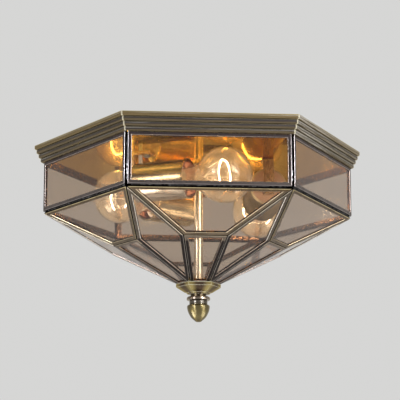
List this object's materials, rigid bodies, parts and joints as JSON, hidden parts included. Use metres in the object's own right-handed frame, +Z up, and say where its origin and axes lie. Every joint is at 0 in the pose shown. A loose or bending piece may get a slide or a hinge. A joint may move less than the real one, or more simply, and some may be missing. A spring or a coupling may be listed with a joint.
{
  "type": "ceiling light",
  "caption": "Hexagonal flush ceiling lantern: stepped brass cornice, glass panes in brass frames, a tapering faceted base with an acorn finial, and clear bulbs round a central rod.",
  "frame": {"origin": "middle of the ceiling plane, on the axis of the central rod", "axes": "+Z up into the ceiling, corners of the hexagon along +X and -X, a flat face toward -Y"},
  "size_m": [0.3676, 0.3184, 0.1962],
  "materials": {
    "antique_brass": "antiqued, satin polished",
    "frame_brass": "dark antiqued, polished",
    "polished_brass": "polished and lacquered",
    "pan_brass": "mirror polished",
    "solder": "tinned, slightly dull",
    "clear_glass": "clear, flat",
    "bulb_glass": "clear, blown",
    "bulb_cap_metal": "plain",
    "filament_metal": "glowing when lit",
    "contact_brass": "plain",
    "zinc_steel": "zinc plated",
    "ceramic": "unglazed",
    "connector_ceramic": "glazed",
    "lead_sleeving": "woven sleeve"
  },
  "bodies": {
    "fitting": {"ceiling_pan": "pan_brass", "cornice": "antique_brass", "ceiling_strap": "zinc_steel", "centre_rod": "polished_brass", "rod_nuts": "polished_brass", "pan_screws": "zinc_steel", "lamp_fixings": "zinc_steel", "holder_contacts": "contact_brass", "lamp_leads": "lead_sleeving", "lead_connectors": "connector_ceramic", "lamp_strip_1": "polished_brass", "lamp_sleeve_1": "polished_brass", "lamp_holder_1": "ceramic", "lamp_strip_2": "polished_brass", "lamp_sleeve_2": "polished_brass", "lamp_holder_2": "ceramic", "lamp_strip_3": "polished_brass", "lamp_sleeve_3": "polished_brass", "lamp_holder_3": "ceramic"},
    "cage": {"side_pane_1": "clear_glass", "upper_pane_1": "clear_glass", "kite_pane_1": "clear_glass", "lower_pane_1": "clear_glass", "side_pane_2": "clear_glass", "upper_pane_2": "clear_glass", "kite_pane_2": "clear_glass", "lower_pane_2": "clear_glass", "side_pane_3": "clear_glass", "upper_pane_3": "clear_glass", "kite_pane_3": "clear_glass", "lower_pane_3": "clear_glass", "side_pane_4": "clear_glass", "upper_pane_4": "clear_glass", "kite_pane_4": "clear_glass", "lower_pane_4": "clear_glass", "side_pane_5": "clear_glass", "upper_pane_5": "clear_glass", "kite_pane_5": "clear_glass", "lower_pane_5": "clear_glass", "side_pane_6": "clear_glass", "upper_pane_6": "clear_glass", "kite_pane_6": "clear_glass", "lower_pane_6": "clear_glass", "side_frames": "frame_brass", "upper_frames": "frame_brass", "kite_frames": "frame_brass", "lower_frames": "frame_brass", "solder_seams": "solder", "cage_cap": "antique_brass"},
    "finial_seat": {"finial_washer": "antique_brass"},
    "finial": {"finial_knob": "antique_brass"},
    "bulb_1_screw": {"bulb_cap_1": "bulb_cap_metal"},
    "bulb_1": {"bulb_glass_1": "bulb_glass", "bulb_filament_1": "filament_metal"},
    "bulb_2_screw": {"bulb_cap_2": "bulb_cap_metal"},
    "bulb_2": {"bulb_glass_2": "bulb_glass", "bulb_filament_2": "filament_metal"},
    "bulb_3_screw": {"bulb_cap_3": "bulb_cap_metal"},
    "bulb_3": {"bulb_glass_3": "bulb_glass", "bulb_filament_3": "filament_metal"}
  },
  "joints": [
    {"name": "cage_drop", "type": "slide", "parent": "fitting", "child": "cage", "axis": [0, 0, -1], "range_m": [0, 0.12]},
    {"name": "finial_travel", "type": "slide", "parent": "cage", "child": "finial_seat", "axis": [0, 0, -1], "range_m": [0, 0.01001]},
    {"name": "finial_turn", "type": "hinge", "parent": "finial_seat", "child": "finial", "pos_m": [0, 0, -0.18], "axis": [0, 0, -1], "range_deg": [0, 3600]},
    {"name": "bulb_1_travel", "type": "slide", "parent": "fitting", "child": "bulb_1_screw", "axis": [0.8829, -0.4695, 0], "range_m": [0, 0.0218]},
    {"name": "bulb_1_turn", "type": "hinge", "parent": "bulb_1_screw", "child": "bulb_1", "pos_m": [-0.03654, -0.06326, -0.0508], "axis": [0.8829, -0.4695, 0], "range_deg": [0, 2160]},
    {"name": "bulb_2_travel", "type": "slide", "parent": "fitting", "child": "bulb_2_screw", "axis": [-0.7986, -0.6018, 0], "range_m": [0, 0.0218]},
    {"name": "bulb_2_turn", "type": "hinge", "parent": "bulb_2_screw", "child": "bulb_2", "pos_m": [-0.03518, 0.06134, -0.0508], "axis": [-0.7986, -0.6018, 0], "range_deg": [0, 2160]},
    {"name": "bulb_3_travel", "type": "slide", "parent": "fitting", "child": "bulb_3_screw", "axis": [0, 0.9976, -0.0698], "range_m": [0, 0.0218]},
    {"name": "bulb_3_turn", "type": "hinge", "parent": "bulb_3_screw", "child": "bulb_3", "pos_m": [0.074, -0.00209, -0.05338], "axis": [0, 0.9976, -0.0698], "range_deg": [0, 2160]}
  ],
  "couplings": [
    {"joint": "finial_travel", "follows": "finial_turn", "m_per_rad": 0.00015915},
    {"joint": "bulb_1_travel", "follows": "bulb_1_turn", "m_per_rad": 0.00057773},
    {"joint": "bulb_2_travel", "follows": "bulb_2_turn", "m_per_rad": 0.00057773},
    {"joint": "bulb_3_travel", "follows": "bulb_3_turn", "m_per_rad": 0.00057773}
  ]
}
